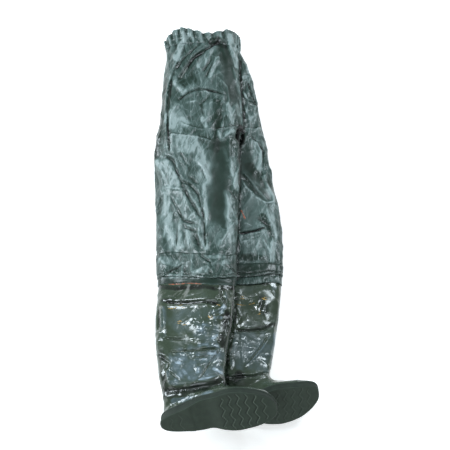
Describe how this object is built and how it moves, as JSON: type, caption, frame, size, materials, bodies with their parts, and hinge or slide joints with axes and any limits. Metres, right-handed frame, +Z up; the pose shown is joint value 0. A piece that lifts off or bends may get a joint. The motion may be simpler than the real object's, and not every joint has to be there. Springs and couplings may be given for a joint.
{
  "type": "waders",
  "caption": "Waist-high waders: slack glossy trousers with a gathered waist, welded at the knee to moulded boots, lying folded leg over leg with the soles turned outward.",
  "frame": {"origin": "on the floor at the middle of the footprint of the folded garment", "axes": "+Y along the legs towards the waist, +X towards the toes, +Z up from the floor"},
  "size_m": [0.435, 1.2524, 0.1964],
  "materials": {
    "pvc_coated_cloth": "glossy PVC-coated cloth, wrinkled",
    "moulded_pvc": "glossy soft moulded PVC",
    "sole_rubber": "matte moulded tread",
    "insole_felt": "plain felt"
  },
  "bodies": {
    "root": {"trousers": "pvc_coated_cloth", "knee_band_right": "pvc_coated_cloth", "knee_band_left": "pvc_coated_cloth", "waist_casing": "pvc_coated_cloth", "boot_upper_right": "moulded_pvc", "boot_upper_left": "moulded_pvc", "outsole_right": "sole_rubber", "outsole_left": "sole_rubber", "insole_right": "insole_felt", "insole_left": "insole_felt"}
  },
  "joints": []
}
